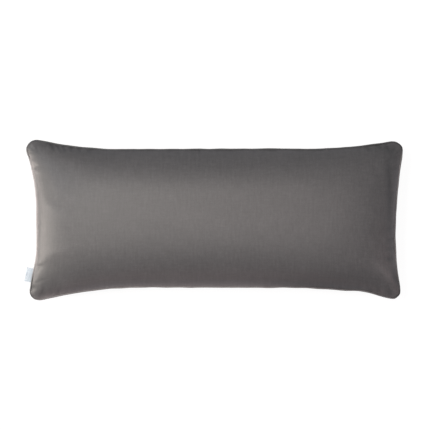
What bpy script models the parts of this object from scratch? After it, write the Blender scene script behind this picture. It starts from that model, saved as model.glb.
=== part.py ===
"""Body pillow lying on its back: a filled cover, the piping sewn round its seam and a folded side label.

Metres, +Z up, +X along the pillow's length. The origin is the middle of the flat patch that it rests on.
"""

import math
from collections import namedtuple

import bmesh
import bpy
from mathutils import Vector
from mathutils.geometry import interpolate_bezier

# The seam's outline seen from above is four sides between sharp corners, which a round turn then cuts off.
# drop is how far below the seam's usual height the sharp corner would be.
Corner = namedtuple("Corner", "x y turn drop")
CORNERS = {
    "top_left": Corner(-0.620, 0.270, 0.058, 0.020),
    "bottom_left": Corner(-0.599, -0.266, 0.044, 0.026),
    "bottom_right": Corner(0.599, -0.263, 0.048, 0.024),
    "top_right": Corner(0.602, 0.259, 0.049, 0.017),
}
CORNER_DROP_REACH = 0.300

# Filling a flat case draws its sides in. A side leaves the straight line between its corners over a reach
# at each end, and runs the draw-in inside that line between them. The sides go anticlockwise.
Side = namedtuple("Side", "start end draw_in_start draw_in_end reach_start reach_end")
SIDES = {
    "left": Side("top_left", "bottom_left", 0.056, 0.033, 0.255, 0.180),
    "bottom": Side("bottom_left", "bottom_right", 0.053, 0.047, 0.378, 0.300),
    "right": Side("bottom_right", "top_right", 0.041, 0.015, 0.292, 0.209),
    "top": Side("top_right", "top_left", 0.030, 0.046, 0.283, 0.335),
}

# Where a side strays from that smooth line: how far along it, over what half-width, and how far outwards.
Stray = namedtuple("Stray", "side along half_width outwards")
STRAYS = (
    Stray("bottom", 0.965, 0.110, 0.003),
    Stray("bottom", 1.075, 0.060, -0.004),
    Stray("top", 0.300, 0.090, -0.0015),
    Stray("left", 0.450, 0.075, 0.0045),
)

# Section of the filled cover. A share runs from 0 in the middle of the pillow to 1 at its seam.
SEAM_HEIGHT = 0.084
CROWN_RISE = 0.102  # of the top above the seam
CROWN_SIDE_POWER = 2.2
CROWN_END_POWER = 4.6
CROWN_FULLNESS = 0.70
FLAT_SHARE_ACROSS = 0.30  # of the underside that lies flat
FLAT_SHARE_ALONG = 0.66

# Slow unevenness of the filling under the top panel
Lump = namedtuple("Lump", "x y radius height")
LUMPS = (
    Lump(-0.330, 0.040, 0.170, 0.0030),
    Lump(-0.060, -0.050, 0.150, -0.0020),
    Lump(0.200, 0.060, 0.160, 0.0025),
    Lump(0.400, -0.040, 0.130, -0.0020),
)

# Piping: a cord covered in bias-cut cloth, sewn between the two panels
PIPING_DIAMETER = 0.0062
FIT_GAP = 0.0003

# Side label: a ribbon folded double, with both ends sewn into the left seam under the piping
LABEL_WIDTH = 0.0455
LABEL_FROM_CORNER = 0.073  # along the seam, from the middle of the bottom left turn to the label's middle
LABEL_REACH = 0.0220  # beyond the piping's outer edge
LABEL_PLY = 0.0010
LABEL_LOOP_GAP = 0.0012
LABEL_SAG = 0.0035

# Mesh
LENGTH_CELLS = 70
WIDTH_CELLS = 28
EDGE_CROWDING = 0.55  # 0 spaces the cells evenly, 1 crowds them towards the seam
SIDE_STEPS = 300
TURN_STEPS = 40
TURN_TENSION = 0.42
LABEL_STATIONS = 6
LABEL_STEPS = 5
FOLD_STEPS = 6

SHARP_ANGLE = math.radians(50)
VELVET_GREY = (0.165, 0.160, 0.160, 1.0)
VELVET_ROUGHNESS = 0.8
RIBBON_WHITE = (0.72, 0.76, 0.79, 1.0)
RIBBON_ROUGHNESS = 0.6


def rise(distance, reach):
    """0 at a corner, 1 from the reach onwards, with no kink at the reach."""
    return 1 - (1 - min(distance / reach, 1)) ** 2


def bump(distance, reach):
    """1 in the middle and 0 from the reach onwards, smooth at both."""
    return (1 - min((distance / reach) ** 2, 1)) ** 2


def side_line(side_name):
    """Points of one side of the outline, between the places where the turns at its two ends begin."""
    side = SIDES[side_name]
    first, last = CORNERS[side.start], CORNERS[side.end]
    start, end = Vector((first.x, first.y)), Vector((last.x, last.y))
    length = (end - start).length
    along = (end - start) / length
    inwards = Vector((-along.y, along.x))
    points = []
    for step in range(SIDE_STEPS + 1):
        run = first.turn + (length - first.turn - last.turn) * step / SIDE_STEPS
        draw_in = side.draw_in_start + (side.draw_in_end - side.draw_in_start) * run / length
        draw_in *= rise(run, side.reach_start) * rise(length - run, side.reach_end)
        for stray in STRAYS:
            if stray.side == side_name:
                draw_in -= stray.outwards * bump(abs(run - stray.along), stray.half_width)
        points.append(start + along * run + inwards * draw_in)
    return points


def turn_line(before, after):
    """The round turn that joins the end of one side to the start of the next."""
    leave = (before[-1] - before[-2]).normalized()
    arrive = (after[1] - after[0]).normalized()
    handle = (after[0] - before[-1]).length * TURN_TENSION
    return interpolate_bezier(
        before[-1], before[-1] + leave * handle, after[0] - arrive * handle, after[0], TURN_STEPS + 1
    )


def outline():
    """The seam's outer edge by side: (point, inward normal) pairs between the middles of two turns."""
    lines = [side_line(side_name) for side_name in SIDES]
    loop, starts = [], []
    for before, line in zip(lines[-1:] + lines[:-1], lines):
        starts.append(len(loop) + TURN_STEPS // 2)
        loop += turn_line(before, line)[:-1] + line[:-1]
    pairs = []
    for place, point in enumerate(loop):
        along = (loop[(place + 1) % len(loop)] - loop[place - 1]).normalized()
        pairs.append((point, Vector((-along.y, along.x))))
    pairs += pairs[: starts[0] + 1]
    ends = starts[1:] + [len(pairs) - 1]
    return {side_name: pairs[start : end + 1] for side_name, start, end in zip(SIDES, starts, ends)}


def stations(pairs, shares, inset):
    """Points of one side at these shares of its length, moved inwards from the outline by the inset."""
    lengths = [0.0]
    for (a, _), (b, _) in zip(pairs, pairs[1:]):
        lengths.append(lengths[-1] + (b - a).length)
    found = []
    piece = 0
    for share in shares:
        wanted = share * lengths[-1]
        while piece < len(pairs) - 2 and lengths[piece + 1] < wanted:
            piece += 1
        part_way = (wanted - lengths[piece]) / (lengths[piece + 1] - lengths[piece])
        (a, inwards_a), (b, inwards_b) = pairs[piece], pairs[piece + 1]
        found.append(a.lerp(b, part_way) + inwards_a.lerp(inwards_b, part_way).normalized() * inset)
    return found


def crowded(cells):
    """Shares from 0 to 1, closer together towards both ends."""
    even = [i / cells for i in range(cells + 1)]
    return [
        share * (1 - EDGE_CROWDING) + EDGE_CROWDING * (0.5 - 0.5 * math.cos(math.pi * share))
        for share in even
    ]


def seam_edges(sides, inset):
    """The bottom, right, top and left edge at the cells' shares, left to right and bottom to top."""
    across, up = crowded(LENGTH_CELLS), crowded(WIDTH_CELLS)
    bottom = stations(sides["bottom"], across, inset)
    right = stations(sides["right"], up, inset)
    top = stations(sides["top"], across, inset)[::-1]
    left = stations(sides["left"], up, inset)[::-1]
    return bottom, right, top, left


def seam_height(point):
    """Height of the seam, and of the surface that it would span if nothing filled the cover."""
    height = SEAM_HEIGHT
    for corner in CORNERS.values():
        distance = (point - Vector((corner.x, corner.y))).length
        height -= corner.drop * (1 - rise(distance, CORNER_DROP_REACH))
    return height


def crown(along, across, point):
    """How far the top stands above the seam, at these shares of the way out to it."""
    fullness = (1 - across**CROWN_SIDE_POWER) * (1 - along**CROWN_END_POWER)
    lumps = sum(
        lump.height * bump((point - Vector((lump.x, lump.y))).length, lump.radius) for lump in LUMPS
    )
    return CROWN_RISE * fullness**CROWN_FULLNESS + lumps


def belly(along, across):
    """Share of the seam's height that the underside has come down: 1 where it lies flat."""
    side = max(0, (across - FLAT_SHARE_ACROSS) / (1 - FLAT_SHARE_ACROSS))
    end = max(0, (along - FLAT_SHARE_ALONG) / (1 - FLAT_SHARE_ALONG))
    return math.sqrt((1 - side**2) * (1 - end**2))


def add_object(name, data, colour, roughness, parent):
    """One named object with its own material."""
    material = bpy.data.materials.new(name)
    material.use_nodes = True
    shader = material.node_tree.nodes["Principled BSDF"]
    shader.inputs["Base Color"].default_value = colour
    shader.inputs["Roughness"].default_value = roughness
    data.materials.append(material)
    made = bpy.data.objects.new(name, data)
    made.parent = parent
    bpy.context.scene.collection.objects.link(made)


def finished_mesh(name, bm):
    """A mesh of this name, smooth but for its sharp edges."""
    bmesh.ops.recalc_face_normals(bm, faces=bm.faces)
    mesh = bpy.data.meshes.new(name)
    bm.to_mesh(mesh)
    bm.free()
    mesh.shade_smooth()
    mesh.set_sharp_from_angle(angle=SHARP_ANGLE)
    return mesh


def filled_cover(sides, parent):
    """Front and back panel round their filling: two grids blended between the seam's four edges."""
    bottom, right, top, left = seam_edges(sides, PIPING_DIAMETER + FIT_GAP)
    across, up = crowded(LENGTH_CELLS), crowded(WIDTH_CELLS)
    bm = bmesh.new()
    upper, under = {}, {}
    for i, u in enumerate(across):
        for j, v in enumerate(up):
            edges = bottom[i] * (1 - v) + top[i] * v + left[j] * (1 - u) + right[j] * u
            ends = bottom[0].lerp(bottom[-1], u) * (1 - v) + top[0].lerp(top[-1], u) * v
            point = edges - ends
            middle = seam_height(point)
            from_middle = abs(2 * u - 1), abs(2 * v - 1)
            if i in (0, LENGTH_CELLS) or j in (0, WIDTH_CELLS):
                upper[i, j] = under[i, j] = bm.verts.new((*point, middle))
            else:
                upper[i, j] = bm.verts.new((*point, middle + crown(*from_middle, point)))
                under[i, j] = bm.verts.new((*point, middle * (1 - belly(*from_middle))))
    for i in range(LENGTH_CELLS):
        for j in range(WIDTH_CELLS):
            ring = ((i, j), (i + 1, j), (i + 1, j + 1), (i, j + 1))
            bm.faces.new([upper[place] for place in ring])
            bm.faces.new([under[place] for place in reversed(ring)])
    add_object("filled_cover", finished_mesh("filled_cover", bm), VELVET_GREY, VELVET_ROUGHNESS, parent)


def piping(sides, parent):
    """The cord round the seam, with its points at the same stations as the cover's edge."""
    bottom, right, top, left = seam_edges(sides, PIPING_DIAMETER / 2)
    path = bottom[:-1] + right[:-1] + top[:0:-1] + left[:0:-1]
    curve = bpy.data.curves.new("piping", "CURVE")
    curve.dimensions = "3D"
    curve.twist_mode = "Z_UP"
    curve.bevel_depth = PIPING_DIAMETER / 2
    curve.bevel_resolution = 2
    spline = curve.splines.new("POLY")
    spline.points.add(len(path) - 1)
    for spline_point, point in zip(spline.points, path):
        spline_point.co = (*point, seam_height(point), 1)
    spline.use_cyclic_u = True
    add_object("piping", curve, VELVET_GREY, VELVET_ROUGHNESS, parent)


def label_section():
    """Section of the folded ribbon, as (reach outwards, depth below its upper face), round its outline."""
    inner = LABEL_LOOP_GAP / 2
    outer = inner + LABEL_PLY
    root, reach = -PIPING_DIAMETER, LABEL_REACH - outer
    steps = [root + (reach - root) * step / LABEL_STEPS for step in range(LABEL_STEPS)]
    turns = [math.pi * turn / FOLD_STEPS for turn in range(FOLD_STEPS + 1)]
    section = [(out, 0) for out in steps]
    section += [(reach + outer * math.sin(a), outer - outer * math.cos(a)) for a in turns]
    section += [(out, 2 * outer) for out in reversed(steps)]
    section += [(out, outer + inner) for out in steps]
    section += [(reach + inner * math.sin(a), outer + inner * math.cos(a)) for a in turns]
    section += [(out, outer - inner) for out in reversed(steps)]
    return section


def side_label(sides, parent):
    """The folded ribbon, square to the left seam, passing under the piping and sagging a little."""
    seam = sides["left"][::-1]
    length = sum((b - a).length for (a, _), (b, _) in zip(seam, seam[1:]))
    near = (LABEL_FROM_CORNER - LABEL_WIDTH / 2) / length
    far = (LABEL_FROM_CORNER + LABEL_WIDTH / 2) / length
    shares = [near + (far - near) * step / (LABEL_STATIONS - 1) for step in range(LABEL_STATIONS)]
    points = stations(seam, shares, 0)
    along = (points[-1] - points[0]).normalized()
    outwards = Vector((-along.y, along.x))
    bm = bmesh.new()
    rings = []
    for point in points:
        upper_face = seam_height(point) - PIPING_DIAMETER / 2 - FIT_GAP
        ring = []
        for out, depth in label_section():
            sag = LABEL_SAG * (max(out, 0) / LABEL_REACH) ** 2
            ring.append(bm.verts.new((*(point + outwards * out), upper_face - depth - sag)))
        rings.append(ring)
    for ring, following in zip(rings, rings[1:]):
        for a, b, c, d in zip(ring, ring[1:] + ring[:1], following[1:] + following[:1], following):
            bm.faces.new((a, b, c, d))
    bm.faces.new(rings[0])
    bm.faces.new(rings[-1])
    add_object("side_label", finished_mesh("side_label", bm), RIBBON_WHITE, RIBBON_ROUGHNESS, parent)


def main():
    for obj in list(bpy.data.objects):
        bpy.data.objects.remove(obj)
    pillow = bpy.data.objects.new("body_pillow", None)
    bpy.context.scene.collection.objects.link(pillow)
    sides = outline()
    filled_cover(sides, pillow)
    piping(sides, pillow)
    side_label(sides, pillow)


main()
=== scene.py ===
"""A velvet body pillow: its filled cover, the piping in its seam and its folded side label, on a pale studio floor."""

import math
from collections import namedtuple

import bpy
import numpy as np
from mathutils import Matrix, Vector


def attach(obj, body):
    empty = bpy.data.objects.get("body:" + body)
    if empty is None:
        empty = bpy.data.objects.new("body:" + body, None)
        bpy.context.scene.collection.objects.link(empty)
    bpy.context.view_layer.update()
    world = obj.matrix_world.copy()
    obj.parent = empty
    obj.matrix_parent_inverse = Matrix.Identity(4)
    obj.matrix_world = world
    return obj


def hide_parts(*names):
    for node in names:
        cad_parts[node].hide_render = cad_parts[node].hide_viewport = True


bl_info = {
    "name": "Velvet body pillow",
    "version": (1, 0, 0),
    "blender": (4, 5, 0),
    "location": "3D View > Sidebar > Body pillow",
    "description": "Makes a piped velvet body pillow round its packed solids",
    "category": "Object",
}

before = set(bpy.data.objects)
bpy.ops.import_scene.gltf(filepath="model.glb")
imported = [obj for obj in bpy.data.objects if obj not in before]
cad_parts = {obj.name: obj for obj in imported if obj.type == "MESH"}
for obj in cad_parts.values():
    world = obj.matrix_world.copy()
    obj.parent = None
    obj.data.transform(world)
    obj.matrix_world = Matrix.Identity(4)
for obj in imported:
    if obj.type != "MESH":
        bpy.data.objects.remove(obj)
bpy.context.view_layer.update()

BODY = "root"
FIT_GAP = 0.0003


# ---- sizes and colours that a user would change


class PillowCoverSettings(bpy.types.PropertyGroup):
    """The two panels and their filling."""

    flat_length: bpy.props.FloatProperty(
        name="Panel length", description="Length of a panel between its seams", default=1.207, unit="LENGTH"
    )
    flat_width: bpy.props.FloatProperty(
        name="Panel width", description="Width of a panel between its seams", default=0.502, unit="LENGTH"
    )
    corner_radius: bpy.props.FloatProperty(
        name="Corner radius", description="Radius of the panels' corners", default=0.045, unit="LENGTH"
    )
    crown_rise: bpy.props.FloatProperty(
        name="Crown", description="Height of the top above the seam", default=0.102, unit="LENGTH"
    )
    filling_pressure: bpy.props.FloatProperty(
        name="Filling", description="How hard the filling pushes the panels out", default=6.0, min=0.0
    )
    velvet_colour: bpy.props.FloatVectorProperty(
        name="Velvet", description="Colour of the velvet", subtype="COLOR", size=4,
        default=(0.051, 0.050, 0.050, 1.0),
    )


class PillowPipingSettings(bpy.types.PropertyGroup):
    """The cord in bias-cut velvet round the seam."""

    diameter: bpy.props.FloatProperty(
        name="Diameter", description="Thickness of the covered cord", default=0.0062, unit="LENGTH"
    )
    gather: bpy.props.FloatProperty(
        name="Gather", description="Height of the small folds in the cord's cover", default=0.00025, unit="LENGTH"
    )


class PillowLabelSettings(bpy.types.PropertyGroup):
    """The ribbon folded double into the seam."""

    width: bpy.props.FloatProperty(
        name="Width", description="Width of the ribbon, along the seam", default=0.0455, unit="LENGTH"
    )
    reach: bpy.props.FloatProperty(
        name="Reach", description="How far it stands out of the piping", default=0.0220, unit="LENGTH"
    )
    ribbon_colour: bpy.props.FloatVectorProperty(
        name="Ribbon", description="Colour of the ribbon", subtype="COLOR", size=4,
        default=(0.315, 0.365, 0.405, 1.0),
    )


class PillowStageSettings(bpy.types.PropertyGroup):
    """The floor, the light and the camera."""

    key_power: bpy.props.FloatProperty(
        name="Overhead light", description="Power of the main light above", default=47.0, unit="POWER"
    )
    side_power: bpy.props.FloatProperty(
        name="Side light", description="Power of the light at the end with the label", default=21.4, unit="POWER"
    )
    surround: bpy.props.FloatProperty(
        name="Surround", description="Strength of the light from all round", default=0.55
    )
    camera_height: bpy.props.FloatProperty(
        name="Camera height", description="Height of the camera above the seam", default=4.5, unit="LENGTH"
    )
    frame_width: bpy.props.FloatProperty(
        name="Frame width", description="Width that the camera sees at the seam", default=1.363, unit="LENGTH"
    )


# ---- the seam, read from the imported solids


def welded(node):
    """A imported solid's points with doubles merged, and its triangles."""
    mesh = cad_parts[node].data
    mesh.calc_loop_triangles()
    points = np.array([v.co for v in mesh.vertices], float)
    triangles = np.array([t.vertices for t in mesh.loop_triangles], int)
    points, merged = np.unique(points.round(6), axis=0, return_inverse=True)
    return points, merged.reshape(-1)[triangles]


def seam_ring():
    """The solid cover's edge, where an upward face meets a downward one: its points in order, anticlockwise."""
    points, triangles = welded("filled_cover")
    a, b, c = points[triangles[:, 0]], points[triangles[:, 1]], points[triangles[:, 2]]
    upward = np.cross(b - a, c - a)[:, 2] > 0
    above, below = set(), set()
    for triangle, up in zip(triangles.tolist(), upward):
        for start, end in zip(triangle, triangle[1:] + triangle[:1]):
            if up:
                above.add((start, end))
            else:
                below.add((end, start))
    following = dict(above & below)
    first = next(iter(following))
    ring, at = [first], following[first]
    while at != first:
        ring.append(at)
        at = following[at]
    return points[ring]


def run_along(line):
    """How far along an open line each of its points is."""
    return np.concatenate([[0], np.cumsum(np.linalg.norm(np.diff(line, axis=0), axis=1))])


def smooth_loop(points, steps):
    """A closed curve through the points, as that many samples for each stretch between two of them."""
    before, after = np.roll(points, 1, axis=0), np.roll(points, -1, axis=0)
    back = np.linalg.norm(points - before, axis=1)[:, None]
    on = np.linalg.norm(after - points, axis=1)[:, None]
    tangent = ((points - before) / back * on + (after - points) / on * back) / (back + on)
    t = (np.arange(steps) / steps)[None, :, None]
    start, end = points[:, None], after[:, None]
    leave, arrive = (tangent * on)[:, None], (np.roll(tangent, -1, axis=0) * on)[:, None]
    curve = (
        (2 * t**3 - 3 * t**2 + 1) * start
        + (t**3 - 2 * t**2 + t) * leave
        + (3 * t**2 - 2 * t**3) * end
        + (t**3 - t**2) * arrive
    )
    return curve.reshape(-1, points.shape[1])


def even_stations(line, count):
    """An open line at that many even steps of its length, without its last point."""
    lengths = run_along(line)
    wanted = np.arange(count) / count * lengths[-1]
    return np.stack([np.interp(wanted, lengths, line[:, k]) for k in range(line.shape[1])], axis=1)


CORNER_WAYS = ((-1, -1), (1, -1), (1, 1), (-1, 1))  # which way each corner lies from the middle, in plan


def stepped(loop, across, up):
    """A closed line from its near left corner, in `across` even steps on each long side and `up` on each short one."""
    corners = [int(np.argmax(loop[:, 0] * x + loop[:, 1] * y)) for x, y in CORNER_WAYS]
    loop = np.roll(loop, -corners[0], axis=0)
    corners = [(corner - corners[0]) % len(loop) for corner in corners] + [len(loop)]
    closed = np.concatenate([loop, loop[:1]])
    sides = [closed[start : end + 1] for start, end in zip(corners, corners[1:])]
    return np.concatenate([even_stations(side, n) for side, n in zip(sides, (across, up, across, up))])


SEAM_SMOOTHING = 12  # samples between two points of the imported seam
END_EASE = 0.0034  # how far the cloth at the label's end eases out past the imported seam
CORNER_EASE = 0.0024  # the same at the corners of the other end
CORNER_MIDDLE, CORNER_FLANK = 0.9, 1.6  # shares of that in a corner's middle, and added beside it
EASE_POWER = 1.5  # how quickly both fade where the seam turns


def seam_ease(out):
    """How far the seam eases out where it faces these ways."""
    x, y = out[:, 0], out[:, 1]
    sideways = x**2 - y**2
    flank = np.where(y > 0, np.maximum(sideways, 0), np.abs(sideways))
    corner = (2 * np.abs(x * y)) ** EASE_POWER * (CORNER_MIDDLE + CORNER_FLANK * flank)
    return END_EASE * np.maximum(-x, 0) ** EASE_POWER + CORNER_EASE * np.where(x > 0, corner, 0)


def seam_line(across, up, outwards=0.0):
    """The eased seam in even steps, moved outwards by that much."""
    ring = seam_ring()
    out = seam_directions(ring)[1]
    line = stepped(smooth_loop(ring + out * seam_ease(out)[:, None], SEAM_SMOOTHING), across, up)
    return line + seam_directions(line)[1] * outwards


def seam_directions(line):
    """Unit directions at each point of the seam: along it, level and outwards, and upwards."""
    along = np.roll(line, -1, axis=0) - np.roll(line, 1, axis=0)
    along /= np.linalg.norm(along, axis=1)[:, None]
    out = np.stack([along[:, 1], -along[:, 0], np.zeros(len(line))], axis=1)
    out /= np.linalg.norm(out, axis=1)[:, None]
    return along, out, np.cross(out, along)


# ---- the flat panel


def half_sizes(cover, inset=0.0):
    """Half the flat panel's length and width, less an inset."""
    return np.array([cover.flat_length, cover.flat_width]) / 2 - inset


def flat_rim(cover, across, up):
    """The flat panel's edge in the same steps as the seam."""
    half = half_sizes(cover, cover.corner_radius)
    angles = np.radians(np.arange(180, 541, 3))  # once round, from the near left corner
    arc = cover.corner_radius * np.stack([np.cos(angles), np.sin(angles)], axis=1)
    quarter = len(angles) // 4
    turns = [arc[k * quarter : (k + 1) * quarter + 1] for k in range(4)]
    return stepped(np.concatenate([half * way + turn for way, turn in zip(CORNER_WAYS, turns)]), across, up)


def seam_distance(cover, flat):
    """Distance of flat points from the flat panel's edge."""
    beyond = np.abs(flat) - half_sizes(cover, cover.corner_radius)
    outside = np.linalg.norm(np.maximum(beyond, 0), axis=1)
    return cover.corner_radius - outside - np.minimum(beyond.max(axis=1), 0)


PanelGrid = namedtuple("PanelGrid", "flat rim faces")
RING_BAND = 0.062  # width of the rings of cells that follow the seam
RINGS = 7
RING_CROWDING = 0.5  # 1 spaces the rings evenly, less crowds them towards the seam
CHUNK = 2000  # points worked on at a time, to keep the arrays small


def panel_grid(cover, across, up):
    """A flat panel's cells: rings that follow its edge, and a square grid inside them."""
    rim = flat_rim(cover, across, up)
    half = half_sizes(cover, RING_BAND)
    xs, ys = np.linspace(-half[0], half[0], across + 1), np.linspace(-half[1], half[1], up + 1)
    inner = np.array([(x, y) for y in ys for x in xs])
    place = np.arange((across + 1) * (up + 1)).reshape(up + 1, across + 1)
    loop = np.concatenate([place[0, :-1], place[:-1, -1], place[-1, :0:-1], place[:0:-1, 0]])
    points, rings = [rim], [np.arange(len(rim))]
    for ring in range(1, RINGS):
        share = ring / RINGS
        share *= RING_CROWDING + (1 - RING_CROWDING) * share
        points.append(rim + (inner[loop] - rim) * share)
        rings.append(rings[-1] + len(rim))
    rings.append(loop + RINGS * len(rim))
    points.append(inner)
    place = place + RINGS * len(rim)
    faces = []
    for outer, inside in zip(rings, rings[1:]):
        faces.append(np.stack([outer, np.roll(outer, -1), np.roll(inside, -1), inside], axis=1))
    cells = np.stack([place[:-1, :-1], place[:-1, 1:], place[1:, 1:], place[1:, :-1]], axis=2)
    faces.append(cells.reshape(-1, 4))
    return PanelGrid(np.concatenate(points), len(rim), np.concatenate(faces))


def carried_by_rim(flat, rim, seam):
    """Where flat points go when the flat rim moves to the seam: mean value coordinates."""
    out = np.empty((len(flat), seam.shape[1]))
    out[: len(rim)] = seam
    for start in range(len(rim), len(flat), CHUNK):
        to_rim = rim[None] - flat[start : start + CHUNK, None]
        distance = np.linalg.norm(to_rim, axis=2)
        onward = np.roll(to_rim, -1, axis=1)
        cross = to_rim[..., 0] * onward[..., 1] - to_rim[..., 1] * onward[..., 0]
        dot = (to_rim * onward).sum(axis=2)
        half_angle = np.tan(np.arctan2(cross, dot) / 2)
        weight = (half_angle + np.roll(half_angle, 1, axis=1)) / distance
        out[start : start + CHUNK] = weight @ seam / weight.sum(axis=1)[:, None]
    return out


# Shape that the panels start to fill from: shares run from 0 in the middle of a panel to 1 at its seam
CROWN_SIDE_POWER = 2.2
CROWN_END_POWER = 4.6
CROWN_FULLNESS = 0.70
FLAT_SHARE_ACROSS = 0.30  # of the underside that lies flat
FLAT_SHARE_ALONG = 0.66

COVER_CELLS_ACROSS = 126
COVER_CELLS_UP = 52
TUCKED_IN = 0.0031  # how far the panels wrap over the piping
GROUND_REACH = 2.0  # of the level ground that they fill on
FLOOR_CLEARANCE = 0.0015
FILL_FRAMES = 20
FILL_REACH = 0.025  # the furthest that filling may move a point
SHOULDER_FULLNESS = 1.4  # 1 leaves the filled top as it is, more fills its shoulders

CLOTH_MAP = "cut_cloth"  # each point's place in the flat cut, for the weave
PANEL = "panel"  # the cover's point attribute: 1 on the top panel, -1 under it and 0 on the seam
PAINTED_LIGHT_AND_SHADE = "painted_light_and_shade"  # a point attribute of painted light and shade: painted shade below 0 and painted light above


def shares(cover, flat):
    """How far out from the middle flat points lie, along the pillow and across it: 1 at the seam."""
    return np.minimum(np.abs(flat) / half_sizes(cover), 1).T


def crown_share(cover, flat):
    """How full the cover stands at flat points: 1 in the middle and 0 at the seam."""
    along, across = shares(cover, flat)
    return ((1 - across**CROWN_SIDE_POWER) * (1 - along**CROWN_END_POWER)) ** CROWN_FULLNESS


def belly_share(cover, flat):
    """Share of the seam's height that the underside has come down at flat points: 1 where it lies flat."""
    along, across = shares(cover, flat)
    side = np.clip((across - FLAT_SHARE_ACROSS) / (1 - FLAT_SHARE_ACROSS), 0, 1)
    end = np.clip((along - FLAT_SHARE_ALONG) / (1 - FLAT_SHARE_ALONG), 0, 1)
    return np.sqrt((1 - side**2) * (1 - end**2))


def values_of(items, name, size=1, kind=np.float32):
    """One property of all the items, as an array."""
    values = np.empty(len(items) * size, kind)
    items.foreach_get(name, values)
    return values


def points_of(mesh):
    """A mesh's points as an array."""
    return values_of(mesh.vertices, "co", 3).reshape(-1, 3).astype(float)


def move_points(mesh, points):
    """Puts a mesh's points at these places."""
    mesh.vertices.foreach_set("co", points.astype(np.float32).ravel())
    mesh.update()


def mark(mesh, name, values, domain="POINT"):
    """Gives a mesh an attribute with these values."""
    mesh.attributes.new(name, "FLOAT", domain).data.foreach_set("value", values.astype(np.float32))


def level_square(name, reach):
    """A flat square round the origin, that far from its middle to its sides."""
    mesh = bpy.data.meshes.new(name)
    corners = [(x * reach, y * reach, 0) for x, y in CORNER_WAYS]
    mesh.from_pydata(corners, [], [(0, 1, 2, 3)])
    square = bpy.data.objects.new(name, mesh)
    bpy.context.scene.collection.objects.link(square)
    return square


def add_piece(name, points, faces, cut):
    """A smooth mesh piece with the map of its cloth, each point's place in the flat cut."""
    mesh = bpy.data.meshes.new(name)
    mesh.from_pydata(points.tolist(), [], faces.tolist())
    corners = values_of(mesh.loops, "vertex_index", kind=np.int32)
    mesh.uv_layers.new(name=CLOTH_MAP).uv.foreach_set("vector", cut[corners].astype(np.float32).ravel())
    mesh.shade_smooth()
    piece = bpy.data.objects.new(name, mesh)
    bpy.context.scene.collection.objects.link(piece)
    return piece


CoverMesh = namedtuple("CoverMesh", "piece flat start lift rim")


def sewn_panels(name, cover):
    """Both panels sewn together at the seam as one closed mesh, in the shape that they start to fill from."""
    grid = panel_grid(cover, COVER_CELLS_ACROSS, COVER_CELLS_UP)
    seam = seam_line(COVER_CELLS_ACROSS, COVER_CELLS_UP, FIT_GAP + TUCKED_IN)
    spread = carried_by_rim(grid.flat, grid.flat[: grid.rim], seam)
    top, underside = spread.copy(), spread[grid.rim :].copy()
    lift = cover.crown_rise * crown_share(cover, grid.flat)
    top[:, 2] += lift
    underside[:, 2] *= 1 - belly_share(cover, grid.flat[grid.rim :])
    start = np.concatenate([top, underside])
    flat = np.concatenate([grid.flat, grid.flat[grid.rim :]])
    under = np.arange(len(grid.flat)) + len(grid.flat) - grid.rim
    under[: grid.rim] = np.arange(grid.rim)
    faces = np.concatenate([grid.faces, under[grid.faces][:, ::-1]])
    piece = add_piece(name, start, faces, flat)
    panel = np.concatenate([np.ones(len(top)), -np.ones(len(underside))])
    panel[: grid.rim] = 0
    mark(piece.data, PANEL, panel)
    return CoverMesh(piece, flat, start, np.concatenate([lift, np.zeros(len(underside))]), grid.rim)


def fill(made, pressure):
    """Presses the panels out from inside, held at the seam and lying on a floor. Gives the filled points."""
    scene = bpy.context.scene
    piece = made.piece
    piece.shape_key_add(name="start")
    cut = piece.shape_key_add(name="cut")
    cut.data.foreach_set("co", np.pad(made.flat, ((0, 0), (0, 1))).astype(np.float32).ravel())
    cut.value = 0
    piece.vertex_groups.new(name="seam").add(list(range(made.rim)), 1.0, "REPLACE")
    filling = piece.modifiers.new("filling", "CLOTH")
    cloth = filling.settings
    cloth.quality = 6
    cloth.mass = 0.3
    cloth.tension_stiffness = cloth.compression_stiffness = 40
    cloth.shear_stiffness = 12
    cloth.bending_stiffness = 0.1
    cloth.tension_damping = cloth.compression_damping = cloth.shear_damping = 5
    cloth.air_damping = 1
    cloth.vertex_group_mass = "seam"
    cloth.use_pressure = True
    cloth.uniform_pressure_force = pressure
    cloth.rest_shape_key = cut
    cloth.effector_weights.gravity = 0
    filling.collision_settings.use_collision = True
    filling.collision_settings.use_self_collision = False
    filling.collision_settings.distance_min = FLOOR_CLEARANCE
    filling.point_cache.frame_end = FILL_FRAMES
    ground = level_square("ground", GROUND_REACH)
    ground.location.z = -FLOOR_CLEARANCE * 2
    ground.modifiers.new("ground", "COLLISION")
    ground.collision.thickness_outer = FLOOR_CLEARANCE
    for frame_number in range(1, FILL_FRAMES + 1):
        scene.frame_set(frame_number)
    filled = points_of(piece.evaluated_get(bpy.context.evaluated_depsgraph_get()).data)
    piece.modifiers.remove(filling)
    piece.shape_key_clear()
    square = ground.data
    bpy.data.objects.remove(ground)
    bpy.data.meshes.remove(square)
    scene.frame_set(1)
    step = filled - made.start
    length = np.linalg.norm(step, axis=1)[:, None]
    step *= np.minimum(1, FILL_REACH / np.maximum(length, 1e-9))
    return made.start + step


def settled(made, points, rise, fullness):
    """The top after its filling has settled: flatter in the middle, with fuller shoulders."""
    base = made.start[:, 2] - made.lift
    height = points[:, 2] - base
    top = made.lift > 0
    share = np.clip(height / height[top].max(), 0, 1)
    points = points.copy()
    points[top, 2] = (base + rise * (1 - (1 - share) ** fullness))[top]
    return points


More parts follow.
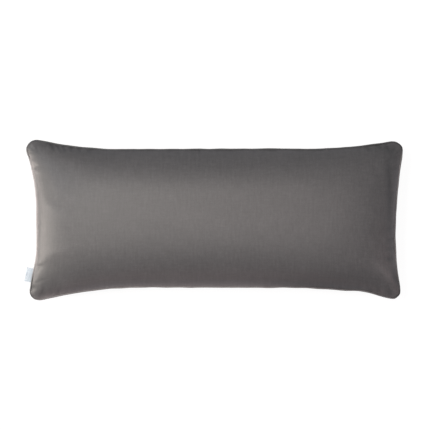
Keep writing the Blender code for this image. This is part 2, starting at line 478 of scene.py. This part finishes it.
def subdivided(piece, creased, levels):
    """Replaces a piece's mesh with its subdivision surface, sharp along the creased edges."""
    mesh = piece.data
    mark(mesh, "crease_edge", creased, "EDGE")
    smooth = piece.modifiers.new("smooth", "SUBSURF")
    smooth.levels = smooth.render_levels = levels
    finer = bpy.data.meshes.new_from_object(piece.evaluated_get(bpy.context.evaluated_depsgraph_get()))
    piece.modifiers.remove(smooth)
    piece.data = finer
    finer.name = piece.name
    finer.attributes.remove(finer.attributes["crease_edge"])
    bpy.data.meshes.remove(mesh)


def rim_edges(mesh, rim):
    """Which edges join two points of the rim."""
    return (values_of(mesh.edges, "vertices", 2, np.int32).reshape(-1, 2) < rim).all(axis=1)


# ---- folds and puckers in the cover


# A fold in the top: the line it runs along in plan, its width, and how far it stands up, or goes down below 0
Fold = namedtuple("Fold", "line width height")
FOLD_ENDS = (0.02, 0.98)  # a fold fades towards both ends of its line, and keeps a little height there
FOLDS = (
    Fold(((-0.572, -0.128), (-0.530, -0.112), (-0.497, -0.100), (-0.430, -0.080)), 0.018, 0.0011),
    Fold(((-0.550, -0.163), (-0.520, -0.145), (-0.475, -0.130)), 0.024, -0.0008),
    Fold(((-0.545, 0.168), (-0.530, 0.110), (-0.508, 0.062), (-0.470, 0.040)), 0.018, -0.0013),
    Fold(((-0.566, 0.090), (-0.532, 0.052), (-0.490, 0.033)), 0.012, 0.0006),
    Fold(((0.546, 0.200), (0.549, 0.120), (0.552, 0.060), (0.548, -0.020)), 0.009, -0.0028),
    Fold(((0.561, 0.075), (0.563, 0.030), (0.560, -0.010)), 0.005, 0.0014),
    Fold(((0.495, -0.130), (0.535, -0.165), (0.572, -0.205)), 0.013, 0.0030),
    Fold(((-0.531, 0.252), (-0.509, 0.224)), 0.0055, -0.0027),
    Fold(((-0.508, 0.246), (-0.488, 0.219)), 0.0045, -0.0026),
    Fold(((-0.488, 0.241), (-0.470, 0.216)), 0.0045, -0.0024),
    Fold(((-0.463, 0.236), (-0.449, 0.214)), 0.0050, -0.0020),
    Fold(((-0.436, 0.231), (-0.425, 0.211)), 0.0050, -0.0018),
    Fold(((-0.404, 0.226), (-0.396, 0.207)), 0.0055, -0.0015),
    Fold(((0.470, 0.232), (0.492, 0.222)), 0.0060, -0.0018),
    Fold(((0.510, 0.243), (0.530, 0.222)), 0.0060, -0.0022),
    Fold(((0.540, 0.244), (0.552, 0.214)), 0.0060, -0.0022),
    Fold(((0.572, 0.236), (0.556, 0.205)), 0.0060, -0.0020),
    Fold(((0.576, -0.018), (0.538, -0.030)), 0.0060, -0.0016),
    Fold(((0.577, -0.055), (0.536, -0.064)), 0.0055, -0.0020),
    Fold(((0.578, -0.090), (0.532, -0.088)), 0.0060, -0.0018),
    Fold(((0.580, -0.128), (0.528, -0.118)), 0.0065, -0.0018),
)

# A size of the puckers: the least and the most of it, and the share by which it grows at a corner
Drawn = namedtuple("Drawn", "least most cornered")
PUCKERS = 210
PUCKER_SEED = 7
PUCKER_REACH = Drawn(0.015, 0.050, 1.1)
PUCKER_WIDTH = Drawn(0.0035, 0.0075, 0.3)
PUCKER_DEPTH = Drawn(0.0003, 0.0019, 1.25)
PUCKER_LEAN = Drawn(-0.3, 0.3, 0.0)
PUCKER_JITTER = 0.4  # share of their spacing that they are moved along the seam
PUCKER_BAND = 0.11  # none of them reaches further in from the seam
PUCKER_RISE = 5  # a pucker is at its full depth after this fraction of its reach: 5 is a fifth
CORNER_STRETCH = 0.12  # length of seam beside a corner where the puckers grow
RIM_STEPS_ACROSS, RIM_STEPS_UP = 1200, 500  # in which their places along the seam are found


def along_line(points, line):
    """For points in plan: their distance from a line, and how far along it they are, from 0 to 1."""
    line = np.array(line, float)
    best = np.full(len(points), np.inf)
    place = np.zeros(len(points))
    run = run_along(line)
    run /= run[-1]
    for start, end, a, b in zip(line, line[1:], run, run[1:]):
        share = np.clip((points - start) @ (end - start) / ((end - start) @ (end - start)), 0, 1)
        distance = np.linalg.norm(points - start - share[:, None] * (end - start), axis=1)
        closer = distance < best
        best[closer] = distance[closer]
        place[closer] = (a + (b - a) * share)[closer]
    return best, place


def fold_heights(plan):
    """How far the folds raise the top at points in plan."""
    raised = np.zeros(len(plan))
    for fold in FOLDS:
        distance, place = along_line(plan, fold.line)
        lengthwise = np.sin(np.pi * np.clip(place, *FOLD_ENDS)) ** 0.5
        raised += fold.height * np.exp(-((distance / fold.width) ** 2)) * lengthwise
    return raised


def drawn(rng, size, cornered=0.0):
    """A size drawn at random, grown by this share of its growth at a corner."""
    return rng.uniform(size.least, size.most) * (1 + size.cornered * cornered)


def pucker_depths(cover, flat, panel):
    """How deep the seam's puckers press into a panel at flat points."""
    rim = flat_rim(cover, RIM_STEPS_ACROSS, RIM_STEPS_UP)
    run = run_along(rim)
    whole = run[-1] + np.linalg.norm(rim[0] - rim[-1])
    far = seam_distance(cover, flat)
    near = np.flatnonzero(far < PUCKER_BAND)
    far = far[near]
    place = np.empty(len(near))
    for start in range(0, len(near), CHUNK):
        part = near[start : start + CHUNK]
        gaps = ((flat[part][:, None] - rim[None]) ** 2).sum(axis=2)
        place[start : start + CHUNK] = run[gaps.argmin(axis=1)]
    rng = np.random.default_rng(PUCKER_SEED + (panel < 0))
    depth = np.zeros(len(near))
    bends = run[[int(np.argmax(rim @ way)) for way in CORNER_WAYS]]
    for at in (np.arange(PUCKERS) + rng.uniform(-PUCKER_JITTER, PUCKER_JITTER, PUCKERS)) / PUCKERS * whole:
        to_bend = np.abs((at - bends + whole / 2) % whole - whole / 2).min()
        cornered = math.exp(-((to_bend / CORNER_STRETCH) ** 2))
        reach = drawn(rng, PUCKER_REACH, cornered)
        width = drawn(rng, PUCKER_WIDTH, cornered)
        deep = drawn(rng, PUCKER_DEPTH, cornered)
        lean = drawn(rng, PUCKER_LEAN)
        share = np.clip(far / reach, 0, 1)
        side = (place - at + whole / 2) % whole - whole / 2 - lean * far
        profile = np.minimum(1, share * PUCKER_RISE) * (1 - share) ** 2
        depth += deep * profile * np.exp(-((side / (width * (1 + share))) ** 2))
    depths = np.zeros(len(flat))
    depths[near] = depth
    return depths


# A patch of painted shade or painted highlight on the top: its middle, its half widths, and how much darker or lighter
# it is painted
PaintedPatch = namedtuple("PaintedPatch", "middle reach amount")
PAINTED_PATCHES = (
    PaintedPatch((-0.558, -0.168), (0.032, 0.042), -0.42),
    PaintedPatch((0.545, -0.150), (0.045, 0.065), 0.22),
    PaintedPatch((0.545, 0.215), (0.060, 0.030), -0.20),
    PaintedPatch((-0.480, 0.230), (0.060, 0.014), 0.14),
    PaintedPatch((-0.040, 0.005), (0.220, 0.035), 0.15),
    PaintedPatch((-0.250, 0.172), (0.090, 0.030), 0.14),
    PaintedPatch((-0.540, -0.040), (0.022, 0.100), -0.33),
    PaintedPatch((0.360, -0.195), (0.200, 0.035), -0.50),
    PaintedPatch((-0.420, -0.160), (0.060, 0.030), -0.20),
)
CREASE_SHADE = 200  # painted shade: a crease is painted darker by this much for each metre of its depth, and a raised fold lighter

# Painted light and shade along the seam, lighter above 0 and darker below: where it faces the label's end, the other
# end, the near side, the near side towards the other end, and the far side, and where it turns round a corner
SeamPaintedLight = namedtuple("SeamPaintedLight", "label_end other_end near near_end far corner")
PIPING_PAINTED_LIGHT = SeamPaintedLight(7.2, 2.3, 2.3, 1.3, -0.7, -0.85)
COVER_PAINTED_LIGHT = SeamPaintedLight(5.0, 2.0, 3.5, 0.0, 0.0, 0.0)
NEAR_FADE = (0.10, 0.32)  # the near side changes between these places along the pillow
END_FADE = (0.21, 0.15)  # and the ends fade in between these distances from the middle of the lit part
END_MIDDLE = 0.02
RIM_REACH = 0.0085  # on the cover this fades with the distance from the seam
FACING_POWER = 5  # how quickly it fades where the seam turns round a corner


def fade_between(places, limits):
    """0 up to the first limit, 1 from the second on, and even between them."""
    return np.clip((places - limits[0]) / (limits[1] - limits[0]), 0, 1)


def painted_light_at_seam(pile, plan, out):
    """The painted light and shade at these places in plan, where the seam faces these ways."""
    near = pile.near + (pile.near_end - pile.near) * fade_between(plan[:, 0], NEAR_FADE)
    end = fade_between(np.abs(plan[:, 1] - END_MIDDLE), END_FADE)
    x, y = out[:, 0], out[:, 1]
    sides = ((-x, pile.label_end * end), (x, pile.other_end * end), (-y, near), (y, pile.far))
    lying = sum(np.maximum(side, 0) ** FACING_POWER * amount for side, amount in sides)
    return lying + pile.corner * (2 * x * y) ** 2


def facing(cover, flat):
    """Which way the nearest part of the flat panel's edge faces, as unit directions."""
    beyond = np.abs(flat) - half_sizes(cover, cover.corner_radius)
    nearest = beyond == beyond.max(axis=1)[:, None]
    beyond = np.where((beyond > 0).any(axis=1)[:, None], np.maximum(beyond, 0), nearest)
    return beyond / np.linalg.norm(beyond, axis=1)[:, None] * np.where(flat < 0, -1, 1)


def painted_patches(plan):
    """The painted patches of shade and highlight at points in plan."""
    over = np.zeros(len(plan))
    for painted_patch in PAINTED_PATCHES:
        away = (plan - painted_patch.middle) / painted_patch.reach
        over += painted_patch.amount * np.exp(-(away**2).sum(axis=1))
    return over


def shape_details(piece, cover):
    """Presses the seam's puckers and the folds into the filled cover, and marks painted light and shade on it: darker
    in creases, lighter on raised folds, in patches on the top and beside the seam.
    """
    mesh = piece.data
    points = points_of(mesh)
    panel = values_of(mesh.attributes[PANEL].data, "value")
    flat = np.zeros((len(points), 2))
    corners = values_of(mesh.loops, "vertex_index", kind=np.int32)
    flat[corners] = values_of(mesh.uv_layers[CLOTH_MAP].uv, "vector", 2).reshape(-1, 2)
    normals = values_of(mesh.vertex_normals, "vector", 3).reshape(-1, 3)
    height = np.zeros(len(points))
    for sign in (1, -1):
        chosen = panel * sign > 0
        height[chosen] -= pucker_depths(cover, flat[chosen], sign)
    top = panel > 0
    height[top] += fold_heights(points[top][:, :2])
    # painted shade in the puckers and sunken folds, painted light on the raised folds
    over = height * CREASE_SHADE
    # painted patches of shade and highlight on the top panel
    over[top] += painted_patches(points[top][:, :2])
    # painted light and shade beside the seam on the cover
    beside = painted_light_at_seam(COVER_PAINTED_LIGHT, points[:, :2], facing(cover, flat))
    over += beside * np.exp(-seam_distance(cover, flat) / RIM_REACH)
    mark(mesh, PAINTED_LIGHT_AND_SHADE, over)
    points += normals * height[:, None]
    points[:, 2] = np.maximum(points[:, 2], 0)
    move_points(mesh, points)


# ---- materials


def set_inputs(node, inputs):
    """Sets a node's inputs. Each is a value, or the output that feeds it."""
    for name, value in inputs.items():
        if isinstance(value, bpy.types.NodeSocket):
            node.id_data.links.new(value, node.inputs[name])
        else:
            node.inputs[name].default_value = value


def add_node(material, kind, inputs, output=0, **settings):
    """Adds a node of this kind and gives one of its outputs."""
    node = material.node_tree.nodes.new("ShaderNode" + kind)
    for name, value in settings.items():
        setattr(node, name, value)
    set_inputs(node, inputs)
    return node.outputs[output]


def new_material(name):
    """An empty material and its Principled shader."""
    material = bpy.data.materials.new(name)
    material.use_nodes = True
    return material, material.node_tree.nodes["Principled BSDF"]


def cloth_place(material):
    """Place in the flat cut."""
    return add_node(material, "UVMap", {}, uv_map=CLOTH_MAP)


def noise(material, place, stretch, detail=2.0, roughness=0.5, distortion=0.0):
    """Noise over a place, with this many features for each metre along each axis."""
    scaled = add_node(material, "VectorMath", {0: place, 1: stretch}, operation="MULTIPLY")
    shape = {"Scale": 1.0, "Detail": detail, "Roughness": roughness, "Distortion": distortion}
    return add_node(material, "TexNoise", {"Vector": scaled, **shape})


def ranged(material, value, low, high, to_low, to_high):
    """A value carried from one range to another."""
    limits = {"From Min": low, "From Max": high, "To Min": to_low, "To Max": to_high}
    return add_node(material, "MapRange", {"Value": value, **limits})


def product(material, a, b):
    """Two values multiplied."""
    return add_node(material, "Math", {0: a, 1: b}, operation="MULTIPLY")


def toned(material, colour, tone):
    """A colour made darker or lighter by a tone, 1 leaving it as it is."""
    return add_node(material, "VectorMath", {0: colour[:3], "Scale": tone}, operation="SCALE")


def bumped(material, height, strength, distance, under=None):
    """A bump from a height, on top of another one."""
    inputs = {"Height": height, "Strength": strength, "Distance": distance}
    if under is not None:
        inputs["Normal"] = under
    return add_node(material, "Bump", inputs)


PAINTED_LIGHT_GAIN = (0.63, 0.60, 0.59)  # how much lighter the painted light makes the velvet, by colour, where the attribute is 1


def velvet(colour):
    """Short-pile velvet: an upright grain, a nap in random tones, painted light and shade from a point attribute, and
    a fine pile.
    """
    material, shader = new_material("short_pile_velvet")
    cut = cloth_place(material)
    grain = noise(material, cut, (150, 20, 1), detail=3.0, roughness=0.65, distortion=0.15)
    nap = noise(material, cut, (9, 13, 1), detail=4.0, roughness=0.6, distortion=0.7)
    tuft = noise(material, cut, (420, 300, 1), detail=2.0)
    pile = noise(material, cut, (1500, 1100, 1), detail=1.0)
    weft = noise(material, cut, (24, 160, 1), detail=3.0, roughness=0.65, distortion=0.15)
    mottle = noise(material, cut, (105, 95, 1), detail=3.0, roughness=0.6, distortion=0.4)
    tone = ranged(material, grain, 0.25, 0.75, 0.86, 1.14)
    for spots, amount in ((weft, 0.09), (mottle, 0.13), (nap, 0.07), (tuft, 0.16)):
        tone = product(material, tone, ranged(material, spots, 0.25, 0.75, 1 - amount, 1 + amount))
    even = toned(material, colour, tone)
    # painted light and shade, read from the point attribute, scales the colour: lighter above 0, darker below
    lying = add_node(material, "Attribute", {}, "Fac", attribute_name=PAINTED_LIGHT_AND_SHADE)
    painted_light_and_shade = add_node(
        material, "VectorMath", {0: lying, 1: PAINTED_LIGHT_GAIN, 2: (1.0, 1.0, 1.0)}, operation="MULTIPLY_ADD"
    )
    rough = ranged(material, mottle, 0.3, 0.7, 0.52, 0.58)
    facing_away = add_node(material, "LayerWeight", {"Blend": 0.5}, "Facing")
    fuzz = ranged(material, facing_away, 0.60, 0.88, 0.0, 0.42)  # pile seen from its side takes no highlight
    tufts = bumped(material, tuft, 0.25, 0.0006)
    fine = bumped(material, pile, 0.3, 0.0004, tufts)
    finish = {
        "Base Color": add_node(material, "VectorMath", {0: even, 1: painted_light_and_shade}, operation="MULTIPLY"),
        "Roughness": add_node(material, "Math", {0: rough, 1: fuzz}, operation="ADD"),
        "Normal": bumped(material, grain, 0.35, 0.0008, fine),
        "Specular IOR Level": 0.6,
    }
    set_inputs(shader, finish)
    return material


def ribbon(colour):
    """Woven satin ribbon: fine ribs across it, threads along them and a little unevenness."""
    material, shader = new_material("satin_ribbon")
    cut = cloth_place(material)
    weave = {"Vector": cut, "Scale": 700.0, "Distortion": 0.6, "Detail": 1.0}
    ribs = add_node(material, "TexWave", weave, "Fac", bands_direction="Y")
    threads = noise(material, cut, (2200, 500, 1), detail=2.0)
    soil = noise(material, cut, (40, 40, 1), detail=3.0)
    threaded = ranged(material, threads, 0.2, 0.8, 0.95, 1.05)
    tone = product(material, threaded, ranged(material, soil, 0.3, 0.7, 0.97, 1.02))
    finish = {
        "Base Color": toned(material, colour, tone),
        "Roughness": 0.42,
        "Normal": bumped(material, threads, 0.3, 0.0002, bumped(material, ribs, 0.4, 0.0002)),
        "Sheen Weight": 0.1,
    }
    set_inputs(shader, finish)
    return material


FINISHES = {}


def finish_of(make, colour):
    """A finish, made the first time that a piece asks for it."""
    if make not in FINISHES:
        FINISHES[make] = make(colour)
    return FINISHES[make]


# ---- the three pieces


def make_cover(context):
    """Both panels with their filling, as one piece."""
    cover = context.scene.pillow_cover
    made = sewn_panels("velvet_cover", cover)
    filled = fill(made, cover.filling_pressure)
    move_points(made.piece.data, settled(made, filled, cover.crown_rise, SHOULDER_FULLNESS))
    subdivided(made.piece, rim_edges(made.piece.data, made.rim), levels=1)
    shape_details(made.piece, cover)
    made.piece.data.materials.append(finish_of(velvet, cover.velvet_colour))
    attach(made.piece, BODY)
    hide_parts("filled_cover")


PIPING_STATIONS_ACROSS = 330
PIPING_STATIONS_UP = 140
PIPING_SIDES = 16
PIPING_SEED = 11
BIAS = 0.7071  # its cloth is cut at 45 degrees: share of a length that lies along each thread

# A smooth random line along the seam: how far it goes, the shortest and longest of its waves, and their count
Waves = namedtuple("Waves", "height shortest longest count")
PIPING_SWAY = Waves(0.0004, 0.06, 0.20, 6)  # outwards and inwards
PIPING_LIFT = Waves(0.0005, 0.05, 0.16, 6)  # up and down
PIPING_SWELL = Waves(0.03, 0.03, 0.09, 8)  # share of its radius
GATHERED = Waves(0.5, 0.02, 0.08, 8)  # share of the full gathers, above and below a half
GATHER_WANDER = Waves(0.35, 0.02, 0.07, 6)  # share of a gather's spacing
CORNER_GATHERED = 1.2  # added where the seam turns most
TURN_SPAN = 4  # stations on each side over which it turns
GATHER_SPACING = 0.0085
GATHER_SLANT = 0.0055  # how far a gather runs along half the way round the cord


def slow_waves(rng, run, whole, waves):
    """A smooth random line round a closed loop, between about its height below 0 and above."""
    line = np.zeros(len(run))
    for _ in range(waves.count):
        turns = round(whole / rng.uniform(waves.shortest, waves.longest))
        line += np.sin(2 * np.pi * (turns * run / whole + rng.uniform())) / math.sqrt(waves.count)
    return waves.height * line


def make_piping(context):
    """The cord in its own velvet, round the whole seam."""
    settings = context.scene.pillow_piping
    radius = settings.diameter / 2
    ring = seam_line(PIPING_STATIONS_ACROSS, PIPING_STATIONS_UP)
    tangent, outwards, upwards = seam_directions(ring)
    steps = np.linalg.norm(np.roll(ring, -1, axis=0) - ring, axis=1)
    run = np.concatenate([[0], np.cumsum(steps)[:-1]])
    whole = steps.sum()
    rng = np.random.default_rng(PIPING_SEED)
    sway, lift, swell, gathered = (
        slow_waves(rng, run, whole, waves) for waves in (PIPING_SWAY, PIPING_LIFT, PIPING_SWELL, GATHERED)
    )
    ahead, behind = np.roll(tangent, -TURN_SPAN, axis=0), np.roll(tangent, TURN_SPAN, axis=0)
    turning = np.linalg.norm(ahead - behind, axis=1)
    gathered = np.clip(0.5 + gathered, 0, 1) + CORNER_GATHERED * turning / turning.max()
    centre = ring + outwards * (FIT_GAP + radius + sway)[:, None] + upwards * lift[:, None]
    angles = 2 * np.pi * np.arange(PIPING_SIDES) / PIPING_SIDES
    spacing = whole / round(whole / GATHER_SPACING)
    phase = run[:, None] / spacing + angles[None] * GATHER_SLANT / spacing / np.pi
    wander = slow_waves(rng, run, whole, GATHER_WANDER)[:, None]
    ridge = np.maximum(0, np.cos(2 * np.pi * (phase + wander))) ** 2
    around = radius * (1 + swell[:, None]) - settings.gather * 0.5 + settings.gather * gathered[:, None] * ridge
    points = (
        centre[:, None]
        + outwards[:, None] * (np.cos(angles)[None] * around)[..., None]
        + upwards[:, None] * (np.sin(angles)[None] * around)[..., None]
    )
    place = np.arange(len(ring) * PIPING_SIDES).reshape(-1, PIPING_SIDES)
    onward, beside = np.roll(place, -1, axis=0), np.roll(place, -1, axis=1)
    faces = np.stack([place, beside, np.roll(onward, -1, axis=1), onward], axis=2).reshape(-1, 4)
    slanted = run[:, None] * BIAS
    cut = np.stack(np.broadcast_arrays(slanted, angles[None] * radius + slanted), axis=2)
    piece = add_piece("piping_cord", points.reshape(-1, 3), faces, cut.reshape(-1, 2))
    # painted light on the piping: lighter at the label's end and the near side, darker on the far side and at the
    # corners
    lying = painted_light_at_seam(PIPING_PAINTED_LIGHT, ring[:, :2], outwards)
    mark(piece.data, PAINTED_LIGHT_AND_SHADE, np.repeat(lying, PIPING_SIDES))
    piece.data.materials.append(finish_of(velvet, context.scene.pillow_cover.velvet_colour))
    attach(piece, BODY)
    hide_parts("piping")


LABEL_PLY = 0.0005
LABEL_ROOT = 0.0062  # how far it goes in under the piping
LABEL_SAG = 0.0035  # of its free end
LABEL_CURL = 0.0016  # how far its lower free corner stands up
LABEL_RIPPLE = 0.0005  # of its free end, up and down
LABEL_RIPPLE_TURN = 9.0  # radians of that ripple across its width
LABEL_RIPPLE_START = 0.6
LABEL_SKEW = 0.012  # share of its reach by which its free end runs out of square
LABEL_SKEW_TURN = 5.0
LABEL_STATIONS = 28
LABEL_RUN_STEPS = 16
LABEL_TURN_STEPS = 9
PRESSED_GAP = 0.0003  # between the two plies where they are pressed together
FOLD_GAP = 0.0013  # between them at the fold
PLIES_PART = (0.55, 1.0)  # shares of its reach between which they part


def label_place():
    """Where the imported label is: the middle of its root in plan, its directions, and its top's height along it."""
    points, _ = welded("side_label")
    plan = points[:, :2]
    directions = np.linalg.eigh(np.cov((plan - plan.mean(axis=0)).T))[1]
    along = directions[:, 1] * np.sign(directions[1, 1])
    out = np.array([-along[1], along[0]])
    places = (plan - plan.mean(axis=0)) @ np.stack([along, out], axis=1)
    root = plan.mean(axis=0) + out * (places[:, 1].min() + float(seam_ease(out[None])[0]))
    stations = {}
    for (run, _), height in zip(places, points[:, 2]):
        key = round(run, 3)
        stations[key] = max(stations.get(key, 0), height)
    slope, middle = np.polyfit(list(stations), list(stations.values()), 1)
    return root, along, out, middle, slope


def label_section(reach):
    """Middle line of the folded ribbon from its root and back: distance from the root, and depth under its top."""
    fold = (FOLD_GAP + LABEL_PLY) / 2
    runs = (reach - fold) * np.arange(LABEL_RUN_STEPS) / LABEL_RUN_STEPS
    half = (PRESSED_GAP + LABEL_PLY) / 2
    half = half + (fold - half) * fade_between(runs / reach, PLIES_PART) ** 2
    turns = np.pi * np.arange(LABEL_TURN_STEPS + 1) / LABEL_TURN_STEPS
    out = np.concatenate([runs, reach - fold + fold * np.sin(turns), runs[::-1]])
    depth = np.concatenate([-half, -fold * np.cos(turns), half[::-1]])
    return np.stack([out, depth + fold + LABEL_PLY / 2], axis=1)


def side_label(settings):
    """The ribbon folded double, sewn in under the piping, sagging a little, with one free corner curling up.

    Gives the piece and the ribbon's flat length.
    """
    root, along, out, middle, slope = label_place()
    reach = LABEL_ROOT + settings.reach
    line = label_section(reach)
    tangent = np.gradient(line, axis=0)
    tangent /= np.linalg.norm(tangent, axis=1)[:, None]
    side = np.stack([tangent[:, 1], -tangent[:, 0]], axis=1) * LABEL_PLY / 2
    section = np.concatenate([line + side, (line - side)[::-1]])
    length = run_along(line)
    lengthwise = np.concatenate([length, length[::-1]])
    across = (np.arange(LABEL_STATIONS) / (LABEL_STATIONS - 1) - 0.5) * settings.width
    share = (section[:, 0] - LABEL_ROOT).clip(0) / settings.reach
    run, far = np.meshgrid(across, section[:, 0], indexing="ij")
    part = np.broadcast_to(share, run.shape)
    skew = 1 + LABEL_SKEW * np.sin(run / settings.width * LABEL_SKEW_TURN) * part
    height = middle + slope * run - section[None, :, 1] - LABEL_SAG * part**2
    height += LABEL_RIPPLE * np.sin(run / settings.width * LABEL_RIPPLE_TURN + LABEL_RIPPLE_START) * part
    lifted = np.clip(-run / settings.width * 2, 0, 1) ** 3
    height += LABEL_CURL * lifted * part**2
    plan = root + run[..., None] * along + (far * skew)[..., None] * out
    points = np.concatenate([plan, height[..., None]], axis=2)
    count = len(section)
    place = np.arange(points.shape[0] * count).reshape(-1, count)
    onward = np.roll(place, -1, axis=1)
    faces = np.stack([place[:-1], place[1:], onward[1:], onward[:-1]], axis=2).reshape(-1, 4)
    pairs = np.stack([place[:, : count // 2], place[:, : count // 2 - 1 : -1]], axis=2)
    for edge, flip in ((pairs[0], 1), (pairs[-1], -1)):
        cap = np.stack([edge[:-1, 0], edge[1:, 0], edge[1:, 1], edge[:-1, 1]], axis=1)
        faces = np.concatenate([faces, cap[:, ::flip]])
    cut = np.stack(np.broadcast_arrays(run, lengthwise[None]), axis=2)
    piece = add_piece("folded_label", points.reshape(-1, 3), faces, cut.reshape(-1, 2))
    piece.data.materials.append(finish_of(ribbon, settings.ribbon_colour))
    return piece, length[-1]


def make_label(context):
    """The side label."""
    settings = context.scene.pillow_label
    piece, length = side_label(settings)
    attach(piece, BODY)
    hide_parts("side_label")


# ---- stage


# A large even light: the setting that gives its power and its share of it, where it is, the way it faces, its size
# and its colour
Softbox = namedtuple("Softbox", "name setting share place facing size colour")
SOFTBOXES = (
    Softbox(
        "left_overhead_light", "key_power", 1.0,
        (-0.9, 0.4, 2.6), (0.9, -0.4, -2.5), (1.6, 0.5), (1.06, 1.0, 0.93),
    ),
    Softbox(
        "right_overhead_light", "key_power", 0.325,
        (0.5, 0.15, 2.6), (-0.5, -0.15, -2.5), (1.6, 0.6), (1.15, 1.0, 0.98),
    ),
    Softbox(
        "low_side_light", "side_power", 1.0,
        (-1.6, -0.1, 0.25), (1.6, 0.1, -0.15), (0.4, 1.2), (1.10, 1.0, 0.91),
    ),
    Softbox(
        "high_side_light", "side_power", 0.2,
        (-1.6, 0.7, 1.2), (1.4, -0.6, -1.1), (0.8, 0.8), (0.85, 1.0, 1.2),
    ),
    Softbox(
        "far_side_light", "side_power", 0.03,
        (1.6, -0.6, 0.4), (-1.5, 0.5, -0.3), (0.6, 0.6), (1.9, 1.0, 0.95),
    ),
    Softbox(
        "near_side_light", "side_power", 0.06,
        (-0.2, -1.5, 0.12), (0.1, 1.5, -0.04), (2.0, 0.2), (1.9, 1.0, 0.93),
    ),
)
SURROUND_COLOUR = (1.0, 0.99, 1.05, 1.0)
FLOOR_REACH = 30.0
FLOOR_GREY = 0.12  # of the light that falls on it, which leaves a faint shadow
FLOOR_GLOW = 0.90  # its own light, which keeps it pale and even
SENSOR_WIDTH = 36.0
CAMERA_OVER = (-0.0013, 0.0162)  # the place in plan that the camera is above
SEAM_HEIGHT = 0.084


def add_softbox(box, power):
    """A light that the camera doesn't see."""
    light = bpy.data.lights.new(box.name, "AREA")
    light.shape = "RECTANGLE"
    light.size, light.size_y = box.size
    light.energy = power * box.share
    light.color = box.colour
    lamp = bpy.data.objects.new(box.name, light)
    lamp.location = box.place
    lamp.rotation_euler = Vector(box.facing).to_track_quat("-Z", "Y").to_euler()
    lamp.visible_camera = False
    bpy.context.scene.collection.objects.link(lamp)


def pale_floor():
    """A matt floor that glows by itself, so that it stays even far from the lights."""
    material, shader = new_material("pale_floor")
    finish = {
        "Base Color": (FLOOR_GREY, FLOOR_GREY, FLOOR_GREY, 1.0),
        "Roughness": 0.9,
        "Specular IOR Level": 0.0,
        "Emission Color": (1.0, 1.0, 1.0, 1.0),
        "Emission Strength": FLOOR_GLOW,
    }
    set_inputs(shader, finish)
    return material


def make_stage(context):
    """The floor, the light and the camera."""
    scene = context.scene
    settings = scene.pillow_stage
    camera = bpy.data.cameras.new("camera")
    camera.sensor_width = SENSOR_WIDTH
    camera.lens = camera.sensor_width * settings.camera_height / settings.frame_width
    viewer = bpy.data.objects.new("camera", camera)
    viewer.location = (*CAMERA_OVER, SEAM_HEIGHT + settings.camera_height)
    scene.collection.objects.link(viewer)
    scene.camera = viewer

    floor = level_square("floor", FLOOR_REACH)
    floor.data.materials.append(pale_floor())
    floor.visible_diffuse = floor.visible_glossy = False

    world = bpy.data.worlds.new("surround")
    scene.world = world
    world.use_nodes = True
    set_inputs(world.node_tree.nodes["Background"], {"Color": SURROUND_COLOUR, "Strength": settings.surround})

    for box in SOFTBOXES:
        add_softbox(box, getattr(settings, box.setting))

    scene.view_settings.view_transform = "Standard"


# ---- operators and panel


class OBJECT_OT_pillow_stage(bpy.types.Operator):
    """Add the pale floor, the soft light and the camera"""

    bl_idname = "object.pillow_stage_add"
    bl_label = "Floor, light and camera"

    def execute(self, context):
        make_stage(context)
        return {"FINISHED"}


class OBJECT_OT_pillow_cover(bpy.types.Operator):
    """Add the filled velvet cover"""

    bl_idname = "object.pillow_cover_add"
    bl_label = "Filled velvet cover"

    def execute(self, context):
        make_cover(context)
        return {"FINISHED"}


class OBJECT_OT_pillow_piping(bpy.types.Operator):
    """Add the piping round the seam"""

    bl_idname = "object.pillow_piping_add"
    bl_label = "Piping"

    def execute(self, context):
        make_piping(context)
        return {"FINISHED"}


class OBJECT_OT_pillow_label(bpy.types.Operator):
    """Add the folded side label"""

    bl_idname = "object.pillow_label_add"
    bl_label = "Side label"

    def execute(self, context):
        make_label(context)
        return {"FINISHED"}


class VIEW3D_PT_body_pillow(bpy.types.Panel):
    """Sizes and colours of the body pillow, and its pieces"""

    bl_label = "Body pillow"
    bl_space_type = "VIEW_3D"
    bl_region_type = "UI"
    bl_category = "Body pillow"

    def draw(self, context):
        for name, (settings, operator) in PARTS.items():
            box = self.layout.box()
            box.operator(operator.bl_idname)
            for field in settings.__annotations__:
                box.prop(getattr(context.scene, name), field)


PARTS = {
    "pillow_stage": (PillowStageSettings, OBJECT_OT_pillow_stage),
    "pillow_cover": (PillowCoverSettings, OBJECT_OT_pillow_cover),
    "pillow_piping": (PillowPipingSettings, OBJECT_OT_pillow_piping),
    "pillow_label": (PillowLabelSettings, OBJECT_OT_pillow_label),
}


def register():
    """Adds the settings, the operators and the panel to Blender."""
    for name, (settings, operator) in PARTS.items():
        bpy.utils.register_class(settings)
        bpy.utils.register_class(operator)
        setattr(bpy.types.Scene, name, bpy.props.PointerProperty(type=settings))
    bpy.utils.register_class(VIEW3D_PT_body_pillow)


def unregister():
    """Takes them out again."""
    bpy.utils.unregister_class(VIEW3D_PT_body_pillow)
    for name, (settings, operator) in PARTS.items():
        delattr(bpy.types.Scene, name)
        bpy.utils.unregister_class(operator)
        bpy.utils.unregister_class(settings)


def main():
    """Makes the stage and every piece."""
    register()
    bpy.ops.object.pillow_stage_add()
    bpy.ops.object.pillow_cover_add()
    bpy.ops.object.pillow_piping_add()
    bpy.ops.object.pillow_label_add()


if __name__ == "__main__":
    main()
